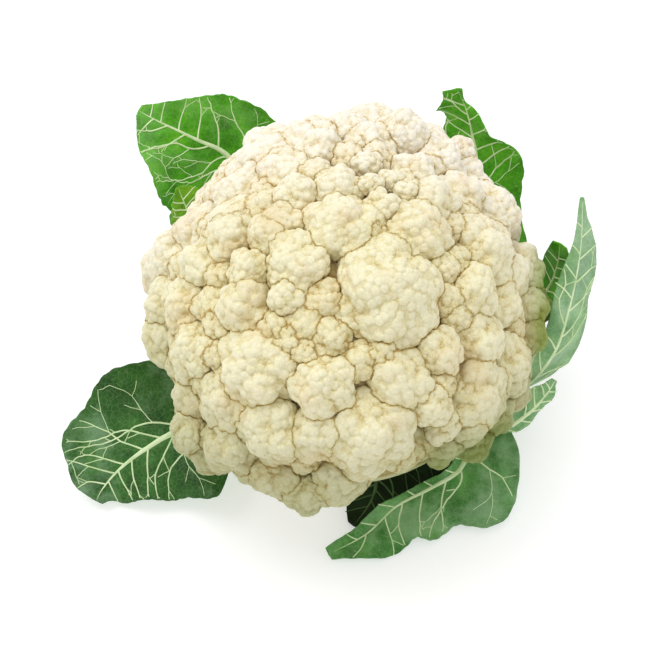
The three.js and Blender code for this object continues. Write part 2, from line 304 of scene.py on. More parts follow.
def makeTubes(name, paths, roundness=2):
    # tapered tubes, one along each path of (place, radius)
    curve = bpy.data.curves.new(name, "CURVE")
    curve.dimensions = "3D"
    curve.bevel_depth = mm
    curve.bevel_resolution = roundness
    curve.use_fill_caps = True
    for path in paths:
        spline = curve.splines.new("POLY")
        spline.points.add(len(path) - 1)
        for point, (place, radius) in zip(spline.points, path):
            point.co = (place[0] * mm, place[1] * mm, place[2] * mm, 1)
            point.radius = radius
    tubes = bpy.data.objects.new(name, curve)
    bpy.context.collection.objects.link(tubes)
    activate(tubes)
    bpy.ops.object.convert(target="MESH")
    bpy.ops.object.shade_smooth()
    return tubes


curdLook = {
    "halfWidth": 91,  # of the dome that the florets fill
    "halfDepth": 104,
    "crownRise": 84,
    "undersideDrop": 50,
    "widestLevel": 70,
    "coreInset": 12,
    "pressed": 1.32,  # neighbours press together, so each is this much wider than it shows
    "loose": 0.035,  # less so for each millimetre that it stands proud
    "weld": 1.8,  # how far neighbours fill the crease between them
    "weldReach": 5.5,
    # painted shade in the clefts between florets: how narrow it is, and how far it spreads
    "creaseShadeWidth": 0.55,
    "creaseShadeSpread": 2.6,  # how far the painted shade round the clefts spreads
    "gapDepth": 6.5,
    "gapTrials": 1400,  # spots where the search for gaps looks
    "mostYoung": 60,
    "youngSizes": (5.5, 9),
    "youngDepth": -3.3,  # how proud of the dome a young floret stands
    "buriedBelow": -0.55,  # a floret's faces this far inside its neighbours go
    "floretFloor": 26.2,
    "coreFloor": 26,
    "budReach": 118,  # degrees from a floret's middle to its last bud
    "crowding": 0.55,  # over a half crowds the buds towards the floret's middle
    "pucker": 0.27,  # how far the creases between buds sink
    "lump": 1.3,  # how far noise pushes a floret's surface in and out
    "lumpSize": 11,
}

# Florets: turn, fall from the crown, radius, and how far each stands proud of the dome.
florets = [
    # on the crown
    (120, 5, 9.5, 1),
    (258, 8, 14.5, 2),
    (350, 11, 7.5, 0),
    (306, 13, 5, -3),
    (29, 8, 5, 0),
    (27, 15, 5, -1),
    (11, 18, 5, 0),
    (65, 15, 6, -1),
    (170, 15, 9, 2),
    (197, 20, 8.5, 1),
    (200, 25, 9, 2),
    (231, 24, 13, 3),
    (339, 23, 14, 3),
    (8, 27, 10.5, 2),
    (35, 27, 9, 0),
    (109, 24, 10, 1),
    (73, 30, 10, 0),
    (143, 26, 11, 0),
    # the upper ring
    (296, 29, 23.5, 6),
    (331, 35, 6, -2),
    (248, 37, 11, -4),
    (237, 33, 7, 1),
    (210, 35, 9, 2),
    (187, 38, 10.5, 1),
    (219, 43, 11.5, 2),
    (178, 37, 10.5, 0),
    (158, 38, 13, 0),
    (138, 39, 14, 1),
    (116, 39, 11, 0),
    (89, 38, 9.5, 0),
    (60, 38, 14, 7),
    (20, 42, 12, 0),
    (42, 44, 12.5, 2),
    (355, 48, 15, 3),
    (334, 47, 11, 3),
    (322, 47, 6.5, -4),
    (276, 46, 7.5, -4),
    # the shoulder
    (308, 52, 9.5, 1),
    (290, 54, 12, 1),
    (261, 53, 13, 3),
    (235, 56, 18, 3),
    (189, 50, 12, 1),
    (170, 57, 13, 0),
    (145, 58, 12, -5),
    (124, 54, 14, 1),
    (102, 54, 13, -2),
    (78, 50, 17, 4),
    (55, 60, 15, 3),
    (36, 60, 12.5, 0.5),
    (44, 57, 8, 6),
    (19, 60, 14.5, 4),
    (356, 64, 11, 0),
    (343, 62, 10, -2),
    (325, 59, 10.5, 1),
    (196, 64, 12.5, 1),
    (211, 68, 12.5, 2),
    (172, 70, 14, 4),
    (229, 72, 13.5, 2),
    (246, 73, 15, 3),
    (277, 70, 18, 4),
    (261, 69, 12, 2),
    (298, 65, 8, 1),
    (301, 74, 7, 0),
    (315, 74, 16.5, 4),
    (331, 77, 14.5, 4),
    (310, 80, 9.5, 2),
    # the rim, which curls under
    (5, 76, 14, 4),
    (354, 80, 10.5, 4.5),
    (347, 84, 9, 4),
    (2, 91, 12, 7.5),
    (322, 90, 10, 2),
    (338, 91, 12, -1),
    (294, 80, 9, -7),
    (288, 80, 8, -3),
    (312, 96, 8.5, 2),
    (332, 92, 9, 3),
    (302, 86, 9, -2),
    (267, 91, 11.5, 1),
    (258, 102, 12.5, 5),
    (248, 96, 12.5, 3),
    (233, 88, 14, 5),
    (240, 103, 12, 1),
    (214, 86, 12, 1),
    (220, 98, 13.5, 9),
    (226, 106, 13, 9),
    (192, 87, 11.5, 4.5),
    (186, 78, 13.5, 3),
    (204, 99, 12, -6),
    (186, 94, 13, -1),
    (168, 86, 15, 8),
    (150, 79, 14.5, -6),
    (128, 76, 15, -3),
    (106, 74, 16, 0),
    (84, 72, 16, 1),
    (65, 76, 15, 0),
    (45, 78, 15, 0.5),
    (25, 80, 15, 1),
    (139, 96, 15, -3),
    (117, 94, 16, 0),
    (95, 93, 16, 0),
    (73, 95, 15, 0),
    (53, 96, 14, -1),
    (34, 97, 14, -1),
    (15, 96, 13, -2),
    (160, 104, 13, -2),
    (271, 103, 9, -5),
]

# Florets are modelled in these sizes and copied: the largest radius, the number of lobes and of
# buds, and how finely the ball is divided.
floretKinds = {
    "tiny": (7.8, 4, 42, 5),
    "small": (12.2, 5, 100, 5),
    "middling": (14.2, 8, 122, 5),
    "middling close up": (14.2, 8, 160, 6),
    "large": (19.5, 10, 190, 5),
    "large close up": (19.5, 10, 250, 6),
    "great": (30, 15, 420, 6),
    "great close up": (30, 15, 520, 7),
}

mapSteps = (120, 240)  # of the map of a floret's reach, from its middle down and round it
headCentre = Vector((0, 0, curdLook["widestLevel"]))


def domePlace(turn, fall):
    # a point on the dome, and the way the dome faces there
    t, f = math.radians(turn), math.radians(fall)
    rise = curdLook["crownRise"] if fall <= 90 else curdLook["undersideDrop"]
    way = Vector((math.sin(f) * math.cos(t), math.sin(f) * math.sin(t), math.cos(f)))
    axes = (curdLook["halfWidth"], curdLook["halfDepth"], rise)
    place = Vector([c * a for c, a in zip(way, axes)]) + headCentre
    return place, Vector([c / a for c, a in zip(way, axes)]).normalized()


def spiral(count, reach, crowding, rng):
    # ways out from +Z on a golden-angle spiral
    for k in range(count):
        lean = math.radians(reach) * ((k + 0.5) / count) ** crowding + rng.uniform(-0.5, 0.5) / count**0.5
        spin = k * goldenTurn + rng.uniform(-0.25, 0.25)
        yield (math.sin(lean) * math.cos(spin), math.sin(lean) * math.sin(spin), math.cos(lean))


def budReach(kind, seed, ways):
    # how far a floret of radius 1 reaches each way, and how deep its creases lie there, which sets their
    # painted shade
    _, lobes, buds, _ = floretKinds[kind]
    rng = random.Random(seed)
    reach = np.full(len(ways), 0.87)
    for lobe in spiral(lobes, curdLook["budReach"] - 25, 0.55, rng):
        radius = (0.3 + 0.68 / math.sqrt(lobes)) * rng.uniform(0.85, 1.12)
        along = ways @ np.array(lobe) * (rng.uniform(0.97, 1.03) - radius)
        across = (1 - radius) ** 2 - along**2
        out = along + np.sqrt(np.maximum(radius**2 - across, 0))
        reach = np.maximum(reach, np.where(radius**2 > across, out, 0))
    spacing = math.sqrt(9.2 / (buds * math.pi))
    centres = np.array(list(spiral(buds, curdLook["budReach"], curdLook["crowding"], rng)))
    pucker = np.full(len(ways), -0.5)
    for centre in centres:
        away = np.linalg.norm(ways - centre, axis=1) / spacing
        sink = curdLook["pucker"] * (0.4 * away**2 + 0.5 * away**4)
        pucker = np.maximum(pucker, rng.uniform(-0.12, 0.12) - sink)
    dip = np.clip((1.0 - reach) / 0.14, 0, 1) ** 2 * 0.35
    crease = np.clip((-pucker - 0.17) / 0.18, 0, 1) * 0.3
    return reach + pucker * spacing, np.clip(dip + crease, 0, 1)


def makeFloret(kind, seed):
    # one floret of radius 1: a ball swollen into lobes, and the lobes puckered into buds
    bpy.ops.mesh.primitive_ico_sphere_add(subdivisions=floretKinds[kind][3], radius=1)
    floret = bpy.context.object
    ways = getPlaces(floret) * mm
    ways /= np.linalg.norm(ways, axis=1)[:, None]
    fall = np.arccos(np.clip(ways[:, 2], -1, 1))
    closer = fall * (0.74 + 0.26 * fall / math.pi)  # vertices crowd to the side that shows
    flat = np.maximum(np.linalg.norm(ways[:, :2], axis=1), 1e-9)
    ways = np.column_stack([ways[:, :2] / flat[:, None] * np.sin(closer)[:, None], np.cos(closer)])
    reach, creaseShade = budReach(kind, seed, ways)
    setPlaces(floret, ways * reach[:, None] / mm)
    setPointValues(floret, "creaseShade", creaseShade)
    leans = np.linspace(0, math.pi, mapSteps[0] + 1)
    spins = np.linspace(-math.pi, math.pi, mapSteps[1] + 1)
    lean, spin = np.meshgrid(leans, spins, indexing="ij")
    around = np.stack([np.sin(lean) * np.cos(spin), np.sin(lean) * np.sin(spin), np.cos(lean)], -1)
    reachMap = budReach(kind, seed, around.reshape(-1, 3))[0].reshape(lean.shape)
    return floret, reachMap


def ballOf(turn, fall, radius, proud):
    place, out = domePlace(turn, fall)
    radius *= curdLook["pressed"] - curdLook["loose"] * max(0, proud)
    return np.array(place + out * (proud - radius)), radius


def fillGaps():
    # young florets crowd up wherever the core would show between the big ones
    balls = [ballOf(*row) for row in florets]
    spots = []
    trials = curdLook["gapTrials"]
    for k in range(trials):
        fall = math.degrees(math.acos(1 - (k + 0.5) / trials * 1.3))
        turn = math.degrees(k * goldenTurn) % 360
        if fall > 75 and 272 < turn < 350:
            continue  # the rim is hollow there, over the front leaves
        place, out = domePlace(turn, fall)
        spots.append((turn, fall, np.array(place - out * curdLook["gapDepth"])))
    places = np.array([spot[2] for spot in spots])
    gaps = np.full(len(spots), 99.0)
    for centre, radius in balls:
        gaps = np.minimum(gaps, np.linalg.norm(places - centre, axis=1) - radius)
    young = []
    smallest, largest = curdLook["youngSizes"]
    while gaps.max() > 0.2 and len(young) < curdLook["mostYoung"]:
        turn, fall, _ = spots[int(gaps.argmax())]
        row = (turn, fall, min(largest, smallest + gaps.max()), curdLook["youngDepth"])
        young.append(row)
        centre, radius = ballOf(*row)
        gaps = np.minimum(gaps, np.linalg.norm(places - centre, axis=1) - radius)
    print(len(young), "young florets fill the gaps")
    return young


def layOut(rows):
    # where each floret sits, how it is turned and stretched, and which model it copies
    lean = math.radians(cameraLook["elevation"])
    toCamera = Vector((0, -math.cos(lean), math.sin(lean)))
    beds = []
    for number, row in enumerate(rows):
        turn, fall, radius, proud = row
        out = domePlace(turn, fall)[1]
        middle, size = ballOf(*row)
        rng = random.Random(number)
        shape = Vector((0, 0, 1)).rotation_difference(out).to_matrix()
        shape = shape @ Matrix.Rotation(rng.uniform(0, 2 * math.pi), 3, "Z")
        shape = shape @ Matrix.Diagonal((rng.uniform(0.94, 1.08), rng.uniform(0.94, 1.08), 1))
        kinds = [name for name, (largest, *_) in floretKinds.items() if radius <= largest]
        closeUp = kinds[0] + " close up"
        shows = out.dot(toCamera) > -0.05
        bed = {"turn": turn, "fall": fall, "proud": proud, "out": np.array(out)}
        bed.update({"middle": middle, "size": size, "shape": np.array(shape) * size})
        bed.update({"back": np.linalg.inv(np.array(shape) * size), "variant": number % 2})
        bed["kind"] = closeUp if shows and closeUp in kinds else kinds[0]
        bed["lump"] = curdLook["lump"] * min(1, size / 14)
        beds.append(bed)
    return beds


def gapTo(bed, models, places, push):
    # how far places lie outside a floret's surface
    inside = (places - bed["middle"]) @ bed["back"].T
    reach = np.linalg.norm(inside, axis=1)
    lean = np.arccos(np.clip(inside[:, 2] / reach, -1, 1)) / math.pi
    spin = (np.arctan2(inside[:, 1], inside[:, 0]) + math.pi) / (2 * math.pi)
    reachMap = models[bed["kind"]][bed["variant"]][1]
    surface = reachMap[(lean * mapSteps[0] + 0.5).astype(int), (spin * mapSteps[1] + 0.5).astype(int)]
    return (reach - surface) * bed["size"] - push * bed["lump"]


def fade(values, start, width):
    # 0 at the start and 1 a width further on
    return np.clip((values - start) / width, 0, 1)


def setPaintedShade(piece, places):
    # painted shade: the curd is made duller to the front and low down, and duller and greener beside the
    # right leaves and at its front right corner, as painted shade with painted green light bounced off the
    # leaves
    x, y, z = places.T
    setPointValues(piece, "front", fade(y, 40, -60))
    setPointValues(piece, "low", fade(z, 110, -55) * np.clip(0.35 - y / 110, 0.15, 1))
    right = fade(x, 78, 10) * fade(z, 104, -16)
    corner = fade(x, 18, 22) * fade(y, -50, -18) * fade(z, 92, -22)
    setPointValues(piece, "leafShade", np.maximum(right, corner * 0.9))


def placeFloret(number, beds, models):
    # a copy of the model at its place on the dome, without the part buried in its neighbours
    bed = beds[number]
    model = models[bed["kind"]][bed["variant"]][0]
    floret = bpy.data.objects.new(f"floret{number}", model.data.copy())
    bpy.context.collection.objects.link(floret)
    places = getPlaces(floret) * mm @ bed["shape"].T
    ways = places / np.linalg.norm(places, axis=1)[:, None]
    places += bed["middle"]
    push = np.array([noise.noise(Vector(p) / curdLook["lumpSize"]) for p in places])
    places += ways * (push * bed["lump"])[:, None]
    gap = np.full(len(places), 99.0)
    for n, other in enumerate(beds):
        apart = np.linalg.norm(other["middle"] - bed["middle"])
        if n != number and apart < (bed["size"] + other["size"]) * 1.1:
            gap = np.minimum(gap, gapTo(other, models, places, push))
    inset = curdLook["coreInset"] + 1.5
    fromCentre = (places - np.array(headCentre)) / (
        curdLook["halfWidth"] - inset,
        curdLook["halfDepth"] - inset,
        curdLook["crownRise"] - inset,
    )
    upper = places[:, 2] > curdLook["widestLevel"]
    buried = (gap < curdLook["buriedBelow"]) | upper & (np.linalg.norm(fromCentre, axis=1) < 1)
    weld = np.clip(1 - np.abs(gap) / curdLook["weldReach"], 0, 1) ** 2 * curdLook["weld"]
    places += weld[:, None] * bed["out"] * min(1, bed["size"] / 14)
    # painted shade in the clefts where the florets meet, spreading a little round them
    outside = np.maximum(gap, 0)
    contact = 0.45 * np.exp(-outside / curdLook["creaseShadeWidth"])
    contact += 0.28 * np.exp(-outside / curdLook["creaseShadeSpread"])
    creaseShade = np.maximum(getPointValues(floret, "creaseShade"), contact)
    if bed["proud"] < -2:  # a sunken floret lies in the shade of those round it
        creaseShade = np.clip(creaseShade + 0.15, 0, 1)
    places[:, 2] = np.maximum(places[:, 2], curdLook["floretFloor"])
    setPlaces(floret, places)
    setPointValues(floret, "creaseShade", creaseShade)
    setPaintedShade(floret, places)
    activate(floret)
    bpy.context.tool_settings.mesh_select_mode = (False, False, True)
    floret.data.vertices.foreach_set("select", np.zeros(len(places), bool))
    corners = np.empty(len(floret.data.polygons) * 3, np.int32)
    floret.data.polygons.foreach_get("vertices", corners)
    floret.data.polygons.foreach_set("select", buried[corners.reshape(-1, 3)].all(axis=1))
    bpy.ops.object.mode_set(mode="EDIT")
    bpy.ops.mesh.delete(type="FACE")
    bpy.ops.object.mode_set(mode="OBJECT")
    return floret


def makeCurd():
    models = {kind: [makeFloret(kind, seed) for seed in (3, 8)] for kind in floretKinds}
    print("floret models made")
    beds = layOut(florets + fillGaps())
    groups = {}
    for number, bed in enumerate(beds):
        floret = placeFloret(number, beds, models)
        if len(floret.data.polygons) == 0:
            bpy.data.objects.remove(floret)
            continue
        if bed["fall"] < 36:
            group = "curdCrown"
        else:
            quarter = int(((bed["turn"] + 45) % 360) // 90)
            group = ["curdRight", "curdBack", "curdLeft", "curdFront"][quarter]
        groups.setdefault(group, []).append(floret)
    for pair in models.values():
        for model, _ in pair:
            bpy.data.objects.remove(model)
    flesh = makeCurdMaterial()
    for group, members in groups.items():
        curd = joinPieces(group, members)
        bpy.ops.object.shade_smooth()
        dress(curd, ["curd"], "curd", [flesh])
        print(group, len(curd.data.polygons), "faces")
    makeCore(flesh)


def makeCore(flesh):
    # the florets' own branches close up behind them into one body
    inset = curdLook["coreInset"]
    bpy.ops.mesh.primitive_uv_sphere_add(segments=96, ring_count=48, radius=1)
    core = bpy.context.object
    places = getPlaces(core) * mm
    upper = places[:, 2] > 0
    sink = inset + 1.5
    places *= (curdLook["halfWidth"] - sink, curdLook["halfDepth"] - sink, 1)
    places[:, 2] *= np.where(upper, curdLook["crownRise"] - sink, curdLook["undersideDrop"])
    places += np.array(headCentre)
    places[:, 2] = np.maximum(places[:, 2], curdLook["coreFloor"])
    setPlaces(core, places)
    # painted shade: the core's upper part, deep behind the florets, is much darker
    setPointValues(core, "creaseShade", np.where(places[:, 2] > 62, 0.8, 0.15))
    setPaintedShade(core, places)
    core.name = "curdCore"
    bpy.ops.object.shade_smooth()
    dress(core, ["curd"], "curd", [flesh])


makeCurd()

stalkLook = {
    "profile": [(22.5, 0), (24.5, 1.6), (25.2, 8), (27, 16), (31, 22), (34, 25.7)],
    "sides": 96,
    "flutes": 5,
    "fluteDepth": 0.035,
}


def makeStalk():
    first, *rest = stalkLook["profile"]
    bpy.ops.mesh.primitive_circle_add(vertices=stalkLook["sides"], radius=first[0] * mm, fill_type="NGON")
    stalk = bpy.context.object
    bpy.ops.object.mode_set(mode="EDIT")
    before = first
    for radius, level in rest:
        bpy.ops.mesh.extrude_region_move(
            TRANSFORM_OT_translate={"value": (0, 0, (level - before[1]) * mm)}
        )
        grow = radius / before[0]
        bpy.ops.transform.resize(value=(grow, grow, 1))
        before = (radius, level)
    bpy.ops.mesh.select_all(action="SELECT")
    bpy.ops.mesh.normals_make_consistent(inside=False)
    bpy.ops.object.mode_set(mode="OBJECT")
    places = getPlaces(stalk)
    angle = np.arctan2(places[:, 1], places[:, 0])
    swell = 1 + stalkLook["fluteDepth"] * np.cos(stalkLook["flutes"] * angle)
    places[:, :2] *= swell[:, None]
    setPlaces(stalk, places)
    bevel = stalk.modifiers.new("soft edge", "BEVEL")
    bevel.width = 0.5 * mm
    bevel.segments = 3
    bevel.angle_limit = math.radians(30)
    bpy.ops.object.modifier_apply(modifier=bevel.name)
    bpy.ops.object.shade_smooth_by_angle(angle=math.radians(40))
    stalk.name = "stalkSkin"
    return dress(stalk, ["stalk"], "stalk", [makeStalkMaterial("stalkFlesh", "#dfe3b4", "#c3cf8c")])


makeStalk()
print("stalk made")

branchLook = {
    "turns": [8, 32, 55, 78, 102, 126, 150, 172, 194, 214, 233, 252, 271, 290, 318, 342],
    "fork": 7,  # degrees by which each half of a fork turns away
    "forksAt": 0.35,
    "falls": (163, 58),  # from the crown at the stalk, and how far it swings out from there
    "foot": 9.5,  # radius where a branch leaves the stalk
    "end": 4.5,
    "lowest": 26.5,
}


def makeBranches():
    # thick branches spread from the stalk's top under the florets, and each forks once
    rng = random.Random(5)
    paths = []
    for turn in branchLook["turns"]:
        for fork in (-branchLook["fork"], branchLook["fork"]):
            path = []
            for step in range(9):
                t = step / 8
                bearing = math.radians(turn + fork * max(0, t - branchLook["forksAt"]) * 1.5)
                fall = math.radians(branchLook["falls"][0] - branchLook["falls"][1] * t)
                out = 0.93 - 0.05 * t
                place = Vector((
                    math.sin(fall) * math.cos(bearing) * (curdLook["halfWidth"] - 10),
                    math.sin(fall) * math.sin(bearing) * (curdLook["halfDepth"] - 10),
                    math.cos(fall) * curdLook["undersideDrop"],
                )) * out + headCentre
                radius = branchLook["foot"] + (branchLook["end"] - branchLook["foot"]) * t
                place.z = max(place.z, branchLook["lowest"] + radius)
                path.append((place, radius * rng.uniform(0.95, 1.05)))
            paths.append(path)
    branches = makeTubes("curdBranches", paths, 4)
    setPointValues(branches, "creaseShade", np.full(len(branches.data.vertices), 0.2))
    return dress(branches, ["curd"], "curd", [makeStalkMaterial("branchFlesh", "#ece6c4", "#d5d9a2")])


makeBranches()
print("branches made")

# Leaves. A row is a point on the midrib and the blade's reach to its left and right there, seen
# from the stalk with the inner face up. faces are the ways that the inner face looks at the foot,
# the middle and the tip. The rest says how the blade and its veins look: shows is 1 where the inner
# face is seen in the photo and -1 where the back is. cup is how far each half curls up, as a share
# of its reach, and waves swell the margin by waveHeight. lobes and teeth are how many the margin has
# and how deep they are. rib is the midrib's radius at the foot and the power by which it tapers.
leaves = {
    "leaf_back_left": {
        "rows": [
            (-17, 24, 14, 7, 7),
            (-32, 57, 19, 8, 8),
            (-47, 90, 40, 21, 13),
            (-58, 104, 64, 43.5, 29),
            (-76, 103, 80, 37, 23.5),
            (-93, 103, 92, 19, 10.5),
            (-102, 104, 98, 3, 3),
        ],
        "faces": [(-0.1, 0.2, 1), (0.35, -0.75, 0.55), (0.42, -0.71, 0.57)],
        "cup": (0.12, 0.08),
        "waves": 4,
        "waveHeight": 1.5,
        "lobes": (6, 0.03),
        "teeth": (30, 0.03),
        "veins": {"pairs": 6, "first": 0.4, "last": 0.93, "angles": (40, 66), "seed": 4},
        "rib": (6.2, 1.7),
        "puff": 1.1,
        "finish": ("brightAndBacklit", "brightBack"),
        "slot": "leaf_bright",
        "shows": 1,
        "grid": (64, 92),
    },
    "leaf_back_left_small": {
        "rows": [
            (-26, 15, 17, 4, 4),
            (-48, 42, 21, 4, 4),
            (-68, 60, 36, 6, 11),
            (-75, 65, 54, 8, 14),
            (-79, 69, 67, 8, 14),
            (-82, 72, 77, 1.5, 2),
        ],
        "faces": [(-0.3, 0.3, 1), (0.5, -0.75, 0.4), (0.45, -0.7, 0.55)],
        "cup": (0.05, 0.05),
        "waves": 4,
        "waveHeight": 0.8,
        "lobes": (3, 0.08),
        "teeth": (19, 0.16),
        "veins": {"pairs": 6, "first": 0.42, "last": 0.9, "angles": (52, 52), "seed": 9},
        "rib": (2.4, 1.3),
        "puff": 0.5,
        "finish": ("young", "brightBack"),
        "slot": "leaf_young",
        "shows": 1,
        "grid": (30, 90),
    },
    "leaf_front_left": {
        "rows": [
            (-28, -7, 13, 7, 7),
            (-51, -21, 18, 10, 11),
            (-76, -35, 24, 37, 36),
            (-94, -45, 21, 28, 38),
            (-107, -53, 15, 20, 32),
            (-115, -60, 9, 11, 21),
            (-118, -65, 6, 3, 4),
        ],
        "faces": [(0, 0, 1), (0.1, -0.46, 0.88), (0.2, -0.4, 0.88)],
        "cup": (0.02, 0.1),
        "waves": 3,
        "waveHeight": 2.4,
        "lobes": (4, 0.05),
        "teeth": (22, 0.02),
        "veins": {"pairs": 6, "first": 0.26, "last": 0.84, "angles": (52, 46), "seed": 2},
        "rib": (3.5, 1.45),
        "puff": 1.2,
        "finish": ("dark", "paleBack"),
        "slot": "leaf_dark",
        "shows": 1,
        "grid": (72, 84),
    },
    "leaf_front": {
        "rows": [
            (19, -21, 13, 7, 6),
            (42, -34, 17, 12, 7),
            (57, -43, 18, 24, 7),
            (54, -54, 15.5, 29, 5),
            (40, -62, 12, 22, 4),
            (24, -70, 9, 20, 4.5),
            (10, -83, 6, 13, 6),
            (-8, -93, 4, 3, 3),
        ],
        "faces": [(0, 0, 1), (0.16, -0.34, 0.93), (0.05, -0.1, 0.98)],
        "cup": (0.02, 0.35),
        "waves": 3,
        "waveHeight": 1.8,
        "lobes": (5, 0.09),
        "teeth": (26, 0.03),
        "veins": {"pairs": 7, "first": 0.3, "last": 0.93, "angles": (50, 50), "seed": 6},
        "rib": (2.8, 1.2),
        "puff": 1.1,
        "finish": ("middling", "paleBack"),
        "slot": "leaf_dark",
        "shows": 1,
        "grid": (54, 104),
    },
    # its blade is painted near black and its veins dark: painted shadow, for it lies in the shade under the
    # curd
    "leaf_front_under": {
        "rows": [
            (3, -28, 9, 6, 6),
            (10, -41, 8, 30, 14),
            (15, -53, 6, 40, 20),
            (12, -65, 4.2, 26, 15),
            (4, -77, 3.2, 4, 3),
        ],
        "faces": [(0, 0, 1), (0, 0, 1), (0, 0, 1)],
        "cup": (0.05, 0.05),
        "waves": 2,
        "waveHeight": 0.8,
        "lobes": (3, 0.05),
        "teeth": (15, 0.02),
        "veins": {"pairs": 5, "first": 0.2, "last": 0.85, "angles": (50, 50), "seed": 7},
        "rib": (3, 1.3),
        "puff": 0.6,
        "finish": ("deep", "deep"),
        "slot": "leaf_dark",
        "shows": 1,
        "grid": (44, 50),
    },
    "leaf_right": {
        "rows": [
            (28, 2, 13, 7, 7),
            (54, -5, 18, 12, 12),
            (81, -18, 30, 20.5, 15),
            (97, -15, 53, 16, 9.5),
            (104, -3, 77, 14.5, 7.5),
            (108, 14, 97, 9.5, 4),
            (109, 33, 112, 0.9, 0.9),
        ],
        "faces": [(0, 0, 1), (-0.45, 0.78, -0.1), (-0.41, 0.78, -0.39)],
        "cup": (0.1, 0.5),
        "waves": 3,
        "waveHeight": 1.2,
        "lobes": (4, 0.04),
        "teeth": (20, 0.015),
        "veins": {"pairs": 8, "first": 0.32, "last": 0.93, "angles": (52, 44), "seed": 3},
        "rib": (2.4, 1.3),
        "puff": 0.9,
        "finish": ("dark", "paleBack"),
        "slot": "leaf_pale",
        "shows": -1,
        "grid": (40, 110),
    },
    "leaf_right_low": {
        "rows": [
            (26, -12, 20, 4, 4),
            (50, -26, 24, 4, 4),
            (73, -38, 28, 5, 5.5),
            (86, -35, 35, 5.5, 6.5),
            (95, -28, 42, 4.5, 6),
            (99, -23, 46, 1.5, 1.5),
        ],
        "faces": [(0, 0, 1), (-0.4, 0.75, -0.35), (-0.4, 0.75, -0.45)],
        "cup": (0.1, 0.3),
        "waves": 3,
        "waveHeight": 0.8,
        "lobes": (4, 0.12),
        "teeth": (15, 0.04),
        "veins": {"pairs": 5, "first": 0.4, "last": 0.9, "angles": (40, 40), "seed": 5},
        "rib": (3, 1.3),
        "puff": 0.4,
        "finish": ("dark", "paleBack"),
        "slot": "leaf_pale",
        "shows": -1,
        "grid": (24, 90),
    },
    "leaf_right_small": {
        "rows": [
            (25, 16, 17, 4, 4),
            (56, 20, 21, 4, 4),
            (86, 24, 33, 6, 6),
            (99, 27, 52, 8, 9),
            (102, 28, 70, 9, 9.5),
            (102, 30, 83, 4, 4),
        ],
        "faces": [(0, 0, 1), (-0.7, -0.45, 0.5), (-0.65, -0.6, 0.4)],
        "cup": (0.05, 0.05),
        "waves": 2,
        "waveHeight": 0.6,
        "lobes": (2, 0.05),
        "teeth": (13, 0.03),
        "veins": {"pairs": 5, "first": 0.45, "last": 0.9, "angles": (50, 50), "seed": 11},
        "rib": (2.8, 1.3),
        "puff": 0.5,
        "finish": ("brightAndBacklit", "paleBack"),
        "slot": "leaf_bright",
        "shows": 1,
        "grid": (26, 80),
    },
    "leaf_back_right": {
        "rows": [
            (11, 28, 14, 7, 7),
            (32, 61, 20, 9, 12),
            (56, 92, 43, 14, 50),
            (67, 98, 66, 14, 30),
            (64, 103, 85, 14.5, 13),
            (60, 104, 100, 14, 1.8),
            (55, 105, 112, 7.5, 2.5),
        ],
        "faces": [(0.2, 0.2, 1), (-0.52, -0.76, 0.38), (-0.4, -0.85, 0.3)],
        "cup": (0.05, 0.05),
        "waves": 3.4,
        "waveHeight": 2.2,
        "lobes": (5, 0.1),
        "teeth": (30, 0.03),
        "veins": {"pairs": 7, "first": 0.34, "last": 0.93, "angles": (40, 52), "seed": 8},
        "rib": (4.2, 1.7),
        "puff": 1.1,
        "finish": ("brightAndBacklit", "brightBack"),
        "slot": "leaf_bright",
        "shows": 1,
        "grid": (62, 96),
    },
}
bladeThickness = 0.6
ribLook = {"steps": 48, "end": 0.985, "tip": 0.25, "sunk": 0.45}
veinLook = {
    "side": 0.52,  # radius of a side vein where it leaves the midrib
    "thin": 0.62,  # a fork's radius, as a share of the vein that it leaves
    "finest": 0.15,
    "runs": (75, 26, 9),  # the longest run of a side vein, of its forks and of theirs
    "firstFork": (9, 15),  # from the midrib to the first fork
    "fork": (6, 11),  # from one fork to the next
    "step": 1.5,
    "raised": 0.06,  # how far a vein's middle stands out of the face that shows
}


def alongRows(rows, u):
    # smooth values between the rows, at a share u of the way along the leaf
    place = min(u, 0.99999) * (len(rows) - 1)
    i = int(place)
    t = place - i
    b, c = np.array(rows[i]), np.array(rows[i + 1])
    a = np.array(rows[i - 1]) if i > 0 else 2 * b - c
    d = np.array(rows[i + 2]) if i + 2 < len(rows) else 2 * c - b
    return b + 0.5 * t * (c - a + t * (2 * a - 5 * b + 4 * c - d + t * (-a + 3 * b - 3 * c + d)))


def leafFrame(leaf, u):
    # the midrib's point, the blade's axes and its reach to each side
    x, y, z, left, right = alongRows(leaf["rows"], u)
    ahead = alongRows(leaf["rows"], min(1, u + 0.01))[:3] - alongRows(leaf["rows"], max(0, u - 0.01))[:3]
    ahead = Vector(ahead).normalized()
    foot, middle, tip = [Vector(face).normalized() for face in leaf["faces"]]
    face = foot.lerp(middle, u * 2) if u < 0.5 else middle.lerp(tip, u * 2 - 1)
    side = ahead.cross(face).normalized()
    return Vector((x, y, z)), side, side.cross(ahead), left, right


def marginAt(leaf, u, isLeft):
    # how far the margin's lobes and teeth carry the blade, as a share of its reach
    lobes, lobeDepth = leaf["lobes"]
    teeth, toothDepth = leaf["teeth"]
    phase = 0.4 if isLeft else 2.1
    lobe = math.sin(2 * math.pi * lobes * u + phase)
    tooth = abs(math.sin(math.pi * teeth * u + phase)) - 0.6
    free = min(1, max(0, (u - 0.25) * 5))
    return 1 + free * (lobeDepth * lobe + toothDepth * tooth)


